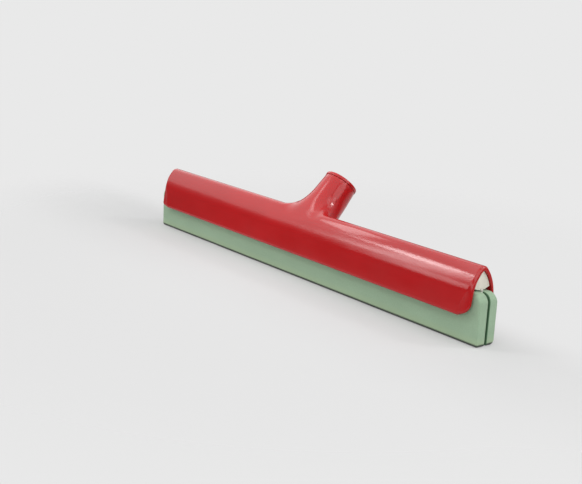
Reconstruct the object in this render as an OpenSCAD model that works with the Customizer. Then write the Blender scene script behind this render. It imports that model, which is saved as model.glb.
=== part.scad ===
// Floor squeegee head with two foam blades, without its handle.
// X runs along the blades, +Z is up and the socket leans towards +Y.
// The origin lies on the floor, at mid-length, under the middle of the front blade.

/* [Blades] */
// Length of the two foam blades
blade_len = 500; // [300:10:750]
// Height of a blade, from the floor to its top edge
blade_h = 46; // [42:0.5:56]
// Thickness of one blade where it is free
blade_t = 9.9; // [8:0.1:12]
// Slit between the two blades
slit = 1.5; // [1.1:0.1:2.5]
// Radius of the two upper corners at the ends of a blade
blade_corner_r = 8; // [3:0.5:11]
// Rounding of the outer edge that touches the floor, and of the lower corners
blade_foot_r = 2.5; // [1:0.5:4]
// How much the jaws squeeze each blade
squeeze = 1.65; // [0.6:0.05:2]

/* [Shell] */
// How far the blades stand out past each end of the shell
blade_overhang = 8; // [4:0.5:16]
// Wall of the shell
wall = 4.2; // [3:0.1:5]
// Height of the shell's lip above the floor
lip_z = 25; // [20:0.5:27]
// Angle of the shell's side walls from upright
flank_lean = 8.9; // [4:0.1:12]
// Radius of each side of the pointed arch
arch_r = 36; // [30:0.1:40]
// Radius of the rounded ridge on top of the arch
ridge_r = 7; // [5:0.1:9]
// Radius of the lower corners at the shell's ends
shell_corner_r = 9; // [4:0.5:14]
// How far the rails under the cassette stay back from the shell's ends
rail_setback = 17; // [12:1:40]
// Height of a rail
rail_h = 2.5; // [2:0.1:3]

/* [Neck] */
// Angle of the neck from upright
neck_lean = 42; // [30:1:50]
// Outer radius of the neck
neck_r = 17.5; // [16.5:0.1:20]
// Distance along the neck's axis from the middle of the shell to the neck's rim
neck_reach = 68; // [64:1:80]
// How far below the shoulder the neck's axis meets the middle plane
neck_drop = 6.8; // [3:0.1:9]
// How much wider than the neck its foot spreads to each side
flare = 9; // [4:0.5:14]
// Length of the neck's plain round part, above the foot
tube_len = 22; // [14:1:30]
// Chamfer on the neck's rim, which shows as a groove under the collar
rim_chamfer = 0.6; // [0.3:0.1:1]

/* [Socket insert] */
// Radius of the threaded hole at the crests of its thread
thread_r = 9.8; // [8:0.1:10.5]
// Wall of the insert's sleeve
insert_wall = 3.7; // [2.5:0.1:3.9]
// Length of the sleeve below the collar
insert_len = 36; // [30:1:38]
// Thickness of the collar on the mouth
collar_h = 3.2; // [2:0.1:5]
// How far the collar stands out past the neck
collar_lip = 0.4; // [0:0.1:1]
// Width of the two keys that stop the insert from turning
key_w = 3; // [2:0.1:5]
// Depth of a key
key_d = 1.2; // [0.6:0.1:1.6]
// Length of a key
key_len = 12; // [6:1:20]

/* [Cassette] */
// Wall of the jaws at the shoulder, and of the crown
carrier_wall = 1.55; // [1.2:0.05:2]
// Thickness of the floor between the crown and the blades
floor_t = 1.8; // [1.2:0.1:2.4]
// How far the jaws' feet stand above the lip
foot_rise = 7.3; // [6.5:0.1:9]
// Thickness of an end plug's plate
plate_t = 2; // [1.2:0.1:3]
// How far the plates stay back from the shell's ends
plate_recess = 1.8; // [1:0.1:4]
// Depth of an end plug's cap over the end of the carrier
cap_len = 8; // [5:0.5:12]
// Length of the tongue that holds an end plug in the crown
tongue_len = 14; // [8:1:20]
// Gap that shows between a plate and the tops of the blades
plate_lift = 1.2; // [0.6:0.1:1.6]
// Radius of the bead along the top of the wedge strip
bead_r = 1.25; // [1.1:0.05:1.5]
// Length of the wedge strip below the tops of the blades
strip_depth = 16; // [12:0.5:17]
// How far the wedge strip stands out past the plates
strip_proud = 1; // [0.4:0.1:2]
// Depth of a barb
barb = 0.5; // [0.3:0.05:0.6]
// Height of a barb
barb_h = 1.8; // [1.2:0.1:2.2]

/* [Clearances] */
// Gap between the cassette and the shell, so that the cassette slides
slide_gap = 0.3; // [0.2:0.05:0.5]
// Gap between the foam and the parts that grip it
grip_gap = 0.1; // [0.05:0.05:0.2]
// Gap round a piece that is pressed in
press_gap = 0.05; // [0.02:0.01:0.1]

/* [Hidden] */
$fn = 96;

shell_len = blade_len - 2 * blade_overhang;
plate_x = shell_len / 2 - plate_recess;
carrier_len = 2 * (plate_x - plate_t - cap_len);
strip_len = 2 * (plate_x + strip_proud);
mid_y = slit / 2 + blade_t / 2;

jaw_in = slit / 2 + blade_t - squeeze + grip_gap;
shoulder_z = blade_h;
shoulder_half = jaw_in + carrier_wall + slide_gap + wall / cos(flank_lean);
arch_x = shoulder_half - arch_r * cos(flank_lean);
arch_z = shoulder_z - arch_r * sin(flank_lean);
ridge_z = arch_z + sqrt(pow(arch_r - ridge_r, 2) - arch_x * arch_x);
ridge_angle = atan2(ridge_z - arch_z, -arch_x);
arc_steps = 12;
carrier_off = wall + slide_gap;
crown_off = carrier_off + carrier_wall;

foot_z = lip_z + foot_rise;
channel_z = blade_h + grip_gap;
bead_z = blade_h + bead_r - 0.15;
pocket_r = bead_r + grip_gap;
boss_half = pocket_r + floor_t;
boss_z = bead_z + pocket_r + floor_t / 2;
stem_t = slit - 2 * grip_gap;
plate_z = blade_h + plate_lift;
rail_in = slit / 2 + blade_t + 0.55;
jaw_barb_z = [foot_z + 3, foot_z + 8];
stem_barb_z = [blade_h - 13, blade_h - 8, blade_h - 3.5];

barb_root = 0.4;

insert_r = thread_r + insert_wall;
neck_root_z = shoulder_z - neck_drop;
foot_len = insert_len - 2;

// Half-width of the arch at height z, off in from its outer face, along its flank
function flank_half(z, off) = shoulder_half + (shoulder_z - z) * tan(flank_lean) - off / cos(flank_lean);

// Points of an arc round [x, z] from angle a to angle b
function arc(x, z, r, a, b, n = arc_steps) =
  [for (i = [0:n]) [x + r * cos(a + (b - a) * i / n), z + r * sin(a + (b - a) * i / n)]];

// Curved part of the arch on the +Y side, off in from its outer face, from height low to the top
function arch_curve(off, low) =
  let (
    r = arch_r - off,
    start = max(flank_lean, asin((low - arch_z) / r)),
    rounded = ridge_r > off,
    end = rounded ? ridge_angle : acos(-arch_x / r)
  )
  concat(
    arc(arch_x, arch_z, r, start, end),
    rounded ? [for (i = [1:arc_steps]) arc(0, ridge_z, ridge_r - off, ridge_angle, 90)[i]] : []
  );

// The same points on the -Y side, in the opposite order, without the one on top
function mirrored(points) = [for (i = [len(points) - 2:-1:0]) [-points[i][0], points[i][1]]];
function reversed(points) = [for (i = [len(points) - 1:-1:0]) points[i]];

module in_frame() {
  translate([0, mid_y, 0])
    children();
}

// Extrudes an outline drawn in Y and Z along X, centred on X = 0
module along_x(len) {
  rotate([90, 0, 90])
    linear_extrude(len, center = true)
      children();
}

// Extrudes an outline drawn in X and Z along Y, centred on Y = 0
module along_y(depth) {
  rotate([90, 0, 0])
    linear_extrude(depth, center = true)
      children();
}

// Stands its children on the neck's axis, measured from the middle of the shell
module on_neck(s = 0) {
  translate([0, 0, neck_root_z])
    rotate([-neck_lean, 0, 0])
      translate([0, 0, s])
        children();
}

// Pointed arch on two leaning flanks, drawn in by off and cut level at z0
module arch(off, z0) {
  on_flank = z0 < shoulder_z - off * sin(flank_lean);
  half = concat(on_flank ? [[flank_half(z0, off), z0]] : [], arch_curve(off, z0));
  polygon(concat(half, mirrored(half)));
}

// Upright outline with its own radius on the lower and the upper corners
module side_outline(len, low, high, low_r, high_r) {
  for (s = [-1, 1]) {
    translate([s * (len / 2 - low_r), low + low_r])
      circle(low_r);
    translate([s * (len / 2 - high_r), high - high_r])
      circle(high_r);
  }
  translate([-len / 2 + low_r, low])
    square([len - 2 * low_r, high - low - high_r]);
  translate([-len / 2, low + low_r])
    square([len, high - low - low_r - high_r]);
  translate([-len / 2 + high_r, low + low_r])
    square([len - 2 * high_r, high - low - low_r]);
}

// Section of the shell: an arch of even wall with a full round along each lip
module shell_section() {
  lip_mid_z = lip_z + wall / 2;
  lip_round = arc(flank_half(lip_mid_z, wall / 2), lip_mid_z, wall / 2, flank_lean - 180, flank_lean);
  inside = reversed(arch_curve(wall, lip_z));
  half = concat(inside, lip_round, arch_curve(0, lip_z));
  left = mirrored(half);
  polygon(concat(half, [for (i = [0:len(left) - 2]) left[i]]));
}

// Ledges inside both flanks that carry the cassette's feet
module rails() {
  top = foot_z - slide_gap;
  low = top - rail_h;
  for (m = [0, 1])
    mirror([0, m, 0])
      along_x(shell_len - 2 * rail_setback)
        polygon([
          [rail_in, top - rail_h / 2],
          [flank_half(low, wall / 2), low],
          [flank_half(top, wall / 2), top],
          [rail_in, top]
        ]);
}

// Outside of the neck: a tube on a foot that spreads over the shell
module neck_body() {
  on_neck(neck_reach - foot_len)
    cylinder(h = foot_len - rim_chamfer, r = neck_r);
  on_neck(neck_reach - rim_chamfer - 0.01)
    cylinder(h = rim_chamfer + 0.01, r1 = neck_r, r2 = neck_r - rim_chamfer);
  hull() {
    along_x(2 * (neck_r + flare))
      arch(wall / 4, foot_z);
    on_neck(neck_reach - tube_len)
      cylinder(h = 0.1, r = neck_r - 0.1, $fn = 48);
  }
}

// Sleeve and its two keys below the neck's rim, grown by gap and lengthened upwards by over
module insert_sleeve(gap, over) {
  on_neck(neck_reach - insert_len - gap)
    cylinder(h = insert_len + gap + over, r = insert_r + gap);
  on_neck(neck_reach - key_len - gap)
    translate([0, 0, (key_len + gap + over) / 2])
      cube([2 * (insert_r + key_d + gap), key_w + 2 * gap, key_len + gap + over], center = true);
}

module shell() {
  color([0.70, 0.13, 0.14])
    in_frame() {
      intersection() {
        along_x(shell_len)
          shell_section();
        along_y(4 * shoulder_half)
          side_outline(shell_len, lip_z, ridge_z + 2 * ridge_r, shell_corner_r, ridge_r);
      }
      rails();
    }
}

// Neck, which is one moulding with the shell and sits on its outer face
module neck() {
  color([0.70, 0.13, 0.14])
    in_frame()
      difference() {
        neck_body();
        along_x(shell_len)
          arch(0, lip_z);
        insert_sleeve(press_gap, 1);
      }
}

module socket_insert() {
  color([0.66, 0.10, 0.11])
    in_frame()
      difference() {
        union() {
          insert_sleeve(0, 0);
          on_neck(neck_reach)
            collar();
        }
        on_neck(neck_reach - insert_len - 1)
          cylinder(h = insert_len + collar_h + 2, r = thread_r);
        on_neck(neck_reach + collar_h - 1)
          cylinder(h = 1.01, r1 = thread_r, r2 = thread_r + 1.01);
      }
}

// Collar on the mouth, with its outer edge rounded
module collar() {
  r = neck_r + collar_lip;
  edge = collar_h / 3;
  rotate_extrude()
    polygon(concat([[0, 0], [r, 0]], arc(r - edge, collar_h - edge, edge, 0, 90), [[0, collar_h]]));
}

// Tooth on an upright face at y, pointing towards +Y, grown by gap
module tooth(y, z, gap) {
  half = barb_h / 2 + gap;
  polygon([
    [y - barb_root, z - half],
    [y, z - half],
    [y + barb + gap, z],
    [y, z + half],
    [y - barb_root, z + half]
  ]);
}

// Teeth of both jaws, which point at the blades
module jaw_teeth(gap, len) {
  for (m = [0, 1], z = jaw_barb_z)
    mirror([0, m, 0])
      along_x(len)
        tooth(-jaw_in, z, gap);
}

// Teeth of the wedge strip, which point away from it
module stem_teeth(gap, len) {
  for (m = [0, 1], z = stem_barb_z)
    mirror([0, m, 0])
      along_x(len)
        tooth(stem_t / 2, z, gap);
}

module carrier() {
  color([0.90, 0.89, 0.85])
    in_frame() {
      difference() {
        along_x(carrier_len)
          arch(carrier_off, foot_z);
        crown_hollow();
        along_x(carrier_len + 2)
          translate([-jaw_in, foot_z - 1])
            square([2 * jaw_in, channel_z - foot_z + 1]);
        along_x(carrier_len + 2)
          translate([0, bead_z])
            circle(pocket_r);
        along_x(carrier_len + 2)
          translate([-stem_t / 2 - grip_gap, channel_z - 1])
            square([stem_t + 2 * grip_gap, bead_z - channel_z + 1]);
      }
      jaw_teeth(0, carrier_len);
    }
}

// Space inside the crown, over the floor and the boss round the bead
module crown_hollow() {
  difference() {
    along_x(carrier_len + 2)
      arch(crown_off, channel_z + floor_t);
    along_x(carrier_len + 4)
      translate([-boss_half, channel_z])
        square([2 * boss_half, boss_z - channel_z]);
  }
}

// Plug for one end of the carrier: a plate, a cap and a tongue in the crown
module end_plug(side) {
  color([0.86, 0.85, 0.80])
    in_frame() {
      difference() {
        translate([side * (plate_x - (plate_t + cap_len) / 2), 0, 0])
          along_x(plate_t + cap_len)
            arch(carrier_off, plate_z);
        along_x(strip_len + 2)
          translate([0, bead_z])
            circle(pocket_r);
      }
      translate([side * (carrier_len / 2 - tongue_len / 2), 0, 0])
        along_x(tongue_len)
          tongue_section();
    }
}

// Section of the tongue: it fills the crown round the boss, a press fit
module tongue_section() {
  difference() {
    arch(crown_off + press_gap, channel_z + floor_t + press_gap);
    translate([-boss_half - press_gap, 0])
      square([2 * (boss_half + press_gap), boss_z + press_gap]);
  }
}

module end_plug_left() {
  end_plug(-1);
}

module end_plug_right() {
  end_plug(1);
}

module wedge_strip() {
  color([0.92, 0.91, 0.87])
    in_frame() {
      along_x(strip_len)
        translate([0, bead_z])
          circle(bead_r);
      along_x(strip_len)
        translate([-stem_t / 2, blade_h - strip_depth])
          square([stem_t, bead_z - blade_h + strip_depth]);
      stem_teeth(0, strip_len);
    }
}

// Section of the rear blade, with its outer lower edge rounded
module blade_section() {
  low = slit / 2;
  high = slit / 2 + blade_t;
  translate([low, blade_foot_r])
    square([blade_t, blade_h - blade_foot_r]);
  translate([low, 0])
    square([blade_t - blade_foot_r, blade_h]);
  translate([high - blade_foot_r, blade_foot_r])
    circle(blade_foot_r);
}

module rear_blade_solid() {
  difference() {
    intersection() {
      along_x(blade_len)
        blade_section();
      along_y(4 * (slit + blade_t))
        side_outline(blade_len, 0, blade_h, blade_foot_r, blade_corner_r);
    }
    along_x(carrier_len + 2)
      translate([jaw_in - grip_gap, foot_z - 0.5])
        square([blade_t, blade_h]);
    jaw_teeth(grip_gap, carrier_len + 2);
    stem_teeth(grip_gap, strip_len + 2);
  }
}

module front_blade() {
  color([0.58, 0.68, 0.58])
    in_frame()
      mirror([0, 1, 0])
        rear_blade_solid();
}

module rear_blade() {
  color([0.58, 0.68, 0.58])
    in_frame()
      rear_blade_solid();
}

shell();
neck();
socket_insert();
carrier();
end_plug_left();
end_plug_right();
wedge_strip();
front_blade();
rear_blade();
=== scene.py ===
# %% [markdown]
# # A floor squeegee head, piece by piece
#
# The real object is a red moulded shell with a leaning neck for the handle. A white cassette in the
# shell grips two strips of green foam. The CAD model gives the places and the sizes, and this lesson
# gives each piece its rounded edges, its finish and its light.
#
# The frame comes first. Blender's objects are in metres, in the frame of the CAD model. The numbers of
# this lesson are in millimetres, and one helper turns them into metres.

# %% Load the frame
from math import asin, atan2, cos, pi, radians, sin, sqrt, tan

import bmesh
import bpy
from mathutils import Matrix, Vector
from mathutils.geometry import tessellate_polygon


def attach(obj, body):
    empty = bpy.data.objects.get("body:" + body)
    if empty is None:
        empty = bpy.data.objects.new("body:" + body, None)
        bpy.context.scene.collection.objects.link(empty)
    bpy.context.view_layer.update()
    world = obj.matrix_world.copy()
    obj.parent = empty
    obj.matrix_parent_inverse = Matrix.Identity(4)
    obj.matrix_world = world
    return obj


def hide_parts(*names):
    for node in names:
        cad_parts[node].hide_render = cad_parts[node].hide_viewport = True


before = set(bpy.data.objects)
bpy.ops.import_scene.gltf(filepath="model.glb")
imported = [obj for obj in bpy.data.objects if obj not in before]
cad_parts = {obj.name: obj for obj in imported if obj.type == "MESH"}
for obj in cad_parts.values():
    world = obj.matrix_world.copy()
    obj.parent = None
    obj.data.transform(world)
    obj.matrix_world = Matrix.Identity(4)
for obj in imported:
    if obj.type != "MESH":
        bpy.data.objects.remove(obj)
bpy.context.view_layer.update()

# %% [markdown]
# ## The numbers that the pieces share
#
# They are the named values of the part's source, in millimetres. A piece that fits into another one
# is drawn from the same number, so the two still meet when one is changed.

# %% Shared sizes
MM = 0.001
# The blades, the slit between them, and how much the jaws squeeze them.
BLADE_LEN, BLADE_H, BLADE_T, SLIT, SQUEEZE, BLADE_TOP_R = 500.0, 46.0, 9.9, 1.5, 1.65, 8.0
# The shell: length, wall, lip height, lean of the flanks, radii of the side and of the ridge.
SHELL_LEN, WALL, LIP_Z, FLANK, ARCH_R, RIDGE_R = 484.0, 4.2, 25.0, radians(8.9), 36.0, 7.0
# The neck: lean, radius, length along its axis, height where the axis starts.
NECK_LEAN, NECK_R, NECK_REACH, NECK_ROOT_Z = radians(42), 17.5, 68.0, 39.2
# The socket insert: collar, sleeve, and radius of the thread's crests.
COLLAR_H, COLLAR_LIP, INSERT_LEN, INSERT_R, THREAD_R = 3.2, 0.4, 36.0, 13.5, 9.8
# The carrier's wall and the gaps between pieces. OPEN is how far the slit's faces stand back.
CARRIER_WALL, SLIDE_GAP, GRIP_GAP, PRESS_GAP, OPEN = 1.55, 0.3, 0.1, 0.05, 0.5
# The cassette in section: floor, foot, plug plate, and the bead of the wedge strip.
FLOOR_T, FOOT_Z, PLATE_Z, BEAD_R, BEAD_Z = 1.8, 32.3, 47.2, 1.25, 47.1
# The cassette in length, then the barbs.
PLATE_X, CARRIER_LEN, STRIP_LEN, TONGUE_LEN, BARB, BARB_H = 240.2, 460.4, 482.4, 14.0, 0.5, 1.8

MID_Y = SLIT / 2 + BLADE_T / 2
JAW_IN = SLIT / 2 + BLADE_T - SQUEEZE + GRIP_GAP
SHOULDER_HALF = JAW_IN + CARRIER_WALL + SLIDE_GAP + WALL / cos(FLANK)
ARCH_X = SHOULDER_HALF - ARCH_R * cos(FLANK)
ARCH_Z = BLADE_H - ARCH_R * sin(FLANK)
RIDGE_Z = ARCH_Z + sqrt((ARCH_R - RIDGE_R) ** 2 - ARCH_X ** 2)
RIDGE_ANGLE = atan2(RIDGE_Z - ARCH_Z, -ARCH_X)
print(f"the ridge is {RIDGE_Z + RIDGE_R:.1f} mm above the floor")

# %% [markdown]
# ## A point on the arch
#
# The shell's section is a pointed arch: two straight flanks, two large arcs and a small arc on the
# ridge. One function walks along it. It starts on the ridge, takes the way along the outer face, and
# gives the point that lies a chosen depth below that face. Every piece that nests in the shell uses it.

# %% Walk along the arch
RIDGE_RUN = RIDGE_R * (pi / 2 - RIDGE_ANGLE)
SIDE_RUN = ARCH_R * (RIDGE_ANGLE - FLANK)


def arch_point(way, depth=0.0):
    """(y, z, normal y, normal z) of the arch, way mm from the ridge towards +Y, depth mm under the face."""
    side, left = (1 if way >= 0 else -1), abs(way)
    down = 0.0
    if left <= RIDGE_RUN:
        centre, angle, r = (0.0, RIDGE_Z), pi / 2 - left / RIDGE_R, RIDGE_R - depth
    else:
        centre, r = (ARCH_X, ARCH_Z), ARCH_R - depth
        angle = max(FLANK, RIDGE_ANGLE - (left - RIDGE_RUN) / ARCH_R)
        down = max(0.0, left - RIDGE_RUN - SIDE_RUN)
    y = centre[0] + r * cos(angle) + down * sin(FLANK)
    z = centre[1] + r * sin(angle) - down * cos(FLANK)
    return side * y, z, side * cos(angle), sin(angle)


def way_to(z, depth=0.0):
    """How far from the ridge the arch comes down to height z."""
    low, high = 0.0, 90.0
    for _ in range(40):
        middle = (low + high) / 2
        low, high = (middle, high) if arch_point(middle, depth)[1] > z else (low, middle)
    return low


print(f"from the ridge to the lip it is {way_to(LIP_Z):.1f} mm along the face")

# %% [markdown]
# ## Two helpers for meshes
#
# Most pieces are long, so they are skins over a row of rings. The first helper turns vertices and
# faces into an object. The second draws a closed outline in Y and Z along X, and draws its ends in a
# little, because no moulded or sawn edge is perfectly sharp.

# %% Make an object from vertices and faces
MERGE_MM = 0.002


def make_object(name, points_mm, faces, sharp=radians(35)):
    """A smooth-shaded object whose vertices are given in mm from the middle plane between the blades."""
    mesh = bpy.data.meshes.new(name)
    mesh.from_pydata([(x * MM, (y + MID_Y) * MM, z * MM) for x, y, z in points_mm], [], faces)
    shape = bmesh.new()
    shape.from_mesh(mesh)
    bmesh.ops.remove_doubles(shape, verts=shape.verts, dist=MERGE_MM * MM)
    bmesh.ops.recalc_face_normals(shape, faces=shape.faces)
    shape.to_mesh(mesh)
    open_edges = sum(1 for e in shape.edges if len(e.link_faces) != 2)
    shape.free()
    mesh.shade_smooth()
    mesh.set_sharp_from_angle(angle=sharp)
    made = bpy.data.objects.new(name, mesh)
    bpy.context.scene.collection.objects.link(made)
    print(f"{name}: {len(mesh.vertices)} vertices, {open_edges} open edges")
    return made


# At a corner the normal is longer, by this factor at most, so that both of its edges move the full way.
MITRE = 1.4


def outward(outline):
    """Outward normals of a closed outline that runs anticlockwise, longer at its corners."""
    found = []
    for i, (y, z) in enumerate(outline):
        before, after = outline[i - 1], outline[(i + 1) % len(outline)]
        turn = Vector((0.0, 0.0))
        for a, b in ((before, (y, z)), ((y, z), after)):
            edge = Vector((b[1] - a[1], a[0] - b[0]))
            turn += edge.normalized() if edge.length > 1e-9 else edge
        found.append(turn.normalized() * min(MITRE, 2 / max(1.0, turn.length)))
    return found


def ring_faces(rings, n, first=0):
    """Faces between rings of n points each, whose points follow one another from index first."""
    pairs = [(first + k * n + i, first + k * n + (i + 1) % n) for k in range(rings - 1) for i in range(n)]
    return [(a, b, b + n, a + n) for a, b in pairs]


def drawn(outlines, x0, x1, edge=0.3, steps=3, first=0):
    """(points, faces) of outlines drawn from x0 to x1: the outside, then any hollows, which run clockwise."""
    points, faces, caps = [], [], ([], [])
    rings = [(x0 + edge * (1 - cos(pi / 2 * i / steps)), edge * (1 - sin(pi / 2 * i / steps)))
             for i in range(steps + 1)]
    rings += [(x1 - (x - x0), inset) for x, inset in reversed(rings)]
    for outline in outlines:
        normals = outward(outline)
        n = len(outline)
        base = first + len(points)
        for x, inset in rings:
            points += [(x, y - inset * m.x, z - inset * m.y) for (y, z), m in zip(outline, normals)]
        faces += ring_faces(len(rings), n, base)
        caps[0].append([base + i for i in range(n)])
        caps[1].append([base + (len(rings) - 1) * n + i for i in range(n)])
    for cap in caps:
        loose = [[Vector((points[i - first][1], points[i - first][2], 0)) for i in loop] for loop in cap]
        flat = [i for loop in cap for i in loop]
        faces += [tuple(flat[i] for i in t) for t in tessellate_polygon(loose)]
    return points, faces


def ring(cy, cz, r, a0, a1, n):
    """Points of an arc in Y and Z, from angle a0 to a1 in radians."""
    angles = [a0 + (a1 - a0) * i / n for i in range(n + 1)]
    return [(cy + r * cos(a), cz + r * sin(a)) for a in angles]


# %% [markdown]
# ## The shell and its neck
#
# On the real head the shell and the neck are one injection moulding. The neck grows out of the arch
# with a soft hollow curve, and its wall never meets the arch at a sharp line. A boolean union would
# give exactly that sharp line, so the skin is woven. The arch is a grid of rings. Where the
# neck stands, the grid has a window. Spokes run from the window's edge to the neck's footprint, and
# from there each spoke is a curve that leaves along the arch and arrives along the tube.

# %% Stations along the shell
# A window of 2 * WINDOW_X stays open in the rings for the neck, where they stand closer together.
WINDOW_X, WINDOW_STEP, LONG_STEP = 44.0, 2.0, 12.0
AROUND, LIP_STEPS = 96, 8
# At its ends the face has a bevelled band, then a rounded rim. The band starts narrow at the ridge and is
# as wide as the lip's cut corner below. BREAK keeps its crease crisp. The rim's rounding goes ROUND_SHARE of
# its radius deep.
RIM_CUT, RIM_ROUND, ROUND_SHARE, BREAK, INNER_EDGE = 1.7, 0.8, 0.6, 0.4, 0.8
BAND_TOP, BAND_FROM, BAND_OVER = 2.0, 14.0, 34.0
# The right end's lip is cut by 11.5 x 5.2 mm and rounded. The left end's is hardly cut.
CORNER_RUN, CORNER_RISE, CORNER_ROUND = 11.5, 5.2, 6.0
LEFT_RISE, LEFT_ROUND = 1.5, 3.0
half_len = SHELL_LEN / 2


def smooth(t):
    """Smooth step from 0 to 1."""
    t = min(1.0, max(0.0, t))
    return t * t * (3 - 2 * t)


def band(way):
    """Length in mm of the bevelled band at the shell's end: narrow at the ridge, wide at the lip."""
    return BAND_TOP + (CORNER_RUN - BAND_TOP) * smooth((abs(way) - BAND_FROM) / BAND_OVER)


def shell_stations():
    """(x, share) of each ring. A share above 0 makes the ring follow the slanting start of the band."""
    right = [(WINDOW_X, 0.0)]
    while right[-1][0] < half_len - CORNER_RUN - LONG_STEP:
        right.append((right[-1][0] + LONG_STEP, 0.0))
    right[-1] = (half_len - CORNER_RUN - BAND_TOP, 0.0)
    right += [(half_len - RIM_ROUND + past, 1.0) for past in (-BREAK, 0.0, BREAK)]
    right += [(half_len - RIM_ROUND, share) for share in (0.6, 0.4, 0.2, 0.0)]
    right += [(half_len - RIM_ROUND * (1 - sin(radians(a))), 0.0) for a in range(15, 91, 15)]
    steps = int(2 * WINDOW_X / WINDOW_STEP)
    middle = [(-WINDOW_X + WINDOW_STEP * i, 0.0) for i in range(1, steps)]
    return [(-x, share) for x, share in reversed(right)] + middle + right


STATIONS = shell_stations()
print(len(STATIONS), "rings along the shell")


# %% The rings
def rounding(to_end, r):
    """How deep an edge rounding of radius r cuts, to_end mm from the end."""
    t = min(1.0, max(0.0, (r - to_end) / r))
    return r * (1 - sqrt(1 - t * t))


def rim_cut(to_end, length):
    """How deep the bevel and the rounding of the rim cut into the outer face."""
    return RIM_CUT * max(0.0, 1 - to_end / length) + rounding(to_end, RIM_ROUND) * ROUND_SHARE


def shell_ring(station):
    """(points, reach) of a closed ring: outer face from -Y to +Y, lip, inner face and the other lip."""
    x, share = station
    side_x = 1 if x >= 0 else -1
    at_end = lambda way: half_len - abs(x) + share * (band(way) - RIM_ROUND)
    to_end = at_end(99.0)
    rise, corner_r = (CORNER_RISE, CORNER_ROUND) if x >= 0 else (LEFT_RISE, LEFT_ROUND)
    lip_z = LIP_Z + rise * max(0.0, 1 - to_end / CORNER_RUN) + rounding(to_end, corner_r)
    lip_cut, depth = rim_cut(to_end, CORNER_RUN), WALL - rounding(to_end, INNER_EDGE)
    middle, round_r = (lip_cut + depth) / 2, (depth - lip_cut) / 2
    reach = way_to(lip_z + WALL / 2, WALL / 2) + (WALL / 2 - round_r)
    face, back, lips = [], [], []
    for i in range(AROUND + 1):
        way = reach * (2 * i / AROUND - 1)
        near = at_end(way)
        face.append((side_x * (half_len - near),) + arch_point(way, rim_cut(near, band(way)))[:2])
        near = at_end(-way)
        back.append((side_x * (half_len - near),) + arch_point(-way, WALL - rounding(near, INNER_EDGE))[:2])
    lip_x = side_x * (half_len - to_end)
    for side in (1, -1):
        y, z = arch_point(side * reach, middle)[:2]
        turn = [FLANK - pi * k / LIP_STEPS for k in range(1, LIP_STEPS)]
        lip = [(lip_x, y + side * round_r * cos(a), z + round_r * sin(a)) for a in turn]
        lips.append(lip if side > 0 else lip[::-1])
    return face + lips[0] + back + lips[1], reach


print(len(shell_ring(STATIONS[0])[0]), "points in a ring")


# %% The arch, with a window for the neck
# The foot is a rounded patch on the arch: half its length along X, its middle and half its width along
# the face, and a power below 1 that fills its corners. The window stands clear of it on both sides.
FOOT_X, FOOT_WAY, FOOT_HALF, FOOT_POWER = 36.0, 10.5, 27.5, 0.74
CLEAR_FRONT, CLEAR_REAR = 4.0, 2.5
LOOP = 2 * (AROUND + 1) + 2 * (LIP_STEPS - 1)
FIRST, LAST = STATIONS.index((-WINDOW_X, 0.0)), STATIONS.index((WINDOW_X, 0.0))
reach = shell_ring((0.0, 0.0))[1]
WAYS = [reach * (2 * i / AROUND - 1) for i in range(AROUND + 1)]
LOW = max(i for i, way in enumerate(WAYS) if way < FOOT_WAY - FOOT_HALF - CLEAR_FRONT)
HIGH = min(i for i, way in enumerate(WAYS) if way > FOOT_WAY + FOOT_HALF + CLEAR_REAR)


def arch_faces():
    """Faces of the rings, without the window, and of the two rims."""
    faces = [face for index, face in enumerate(ring_faces(len(STATIONS), LOOP))
             if not (FIRST <= index // LOOP < LAST and LOW <= index % LOOP < HIGH)]
    for k in (0, len(STATIONS) - 1):
        outer = [k * LOOP + i for i in range(AROUND + 1)]
        inner = [k * LOOP + 2 * AROUND + LIP_STEPS - i for i in range(AROUND + 1)]
        faces += [(outer[i], outer[i + 1], inner[i + 1], inner[i]) for i in range(AROUND)]
        for before, after, start in ((outer[-1], inner[-1], AROUND + 1),
                                     (inner[0], outer[0], 2 * AROUND + LIP_STEPS + 1)):
            faces.append((before, *(k * LOOP + start + j for j in range(LIP_STEPS - 1)), after))
    return faces


skin_points = [point for station in STATIONS for point in shell_ring(station)[0]]
skin_faces = arch_faces()
print(len(skin_faces), "faces in the arch")


# %% Spokes from the window to the foot
def window_spokes():
    """(x, way, angle, foot x, foot way) of each spoke, and the point of the grid where it starts."""
    edge = [(k, LOW) for k in range(FIRST, LAST)] + [(LAST, i) for i in range(LOW, HIGH)]
    edge += [(k, HIGH) for k in range(LAST, FIRST, -1)] + [(FIRST, i) for i in range(HIGH, LOW, -1)]
    found = []
    for k, i in edge:
        x, way = STATIONS[k][0], WAYS[i]
        angle = atan2(-(way - FOOT_WAY) / FOOT_HALF, x / FOOT_X)
        full_x, full_way = (abs(f) ** FOOT_POWER * (1 if f >= 0 else -1) for f in (cos(angle), sin(angle)))
        found.append((x, way, angle, FOOT_X * full_x, FOOT_WAY - FOOT_HALF * full_way))
    return found, [k * LOOP + i for k, i in edge]


spokes, window = window_spokes()
print(len(spokes), "spokes")


# %% The hollow curve from the foot to the tube
# The curve ends TUBE_S mm up the axis, and REAR_RISE mm higher at the rear. LEAVE and ARRIVE are the pull
# of its two ends, which is weaker at the rear. The tube widens towards its root by DRAFT mm per mm.
TUBE_S, REAR_RISE, LEAVE, REAR_LEAVE, ARRIVE, REAR_ARRIVE = 50.0, 4.0, 0.85, 0.5, 1.1, 0.35
DRAFT, MOUTH_R = 0.07, 0.6
SPOKE_RINGS, RISE_RINGS, FLAT_RINGS = 5, 26, 4


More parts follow.
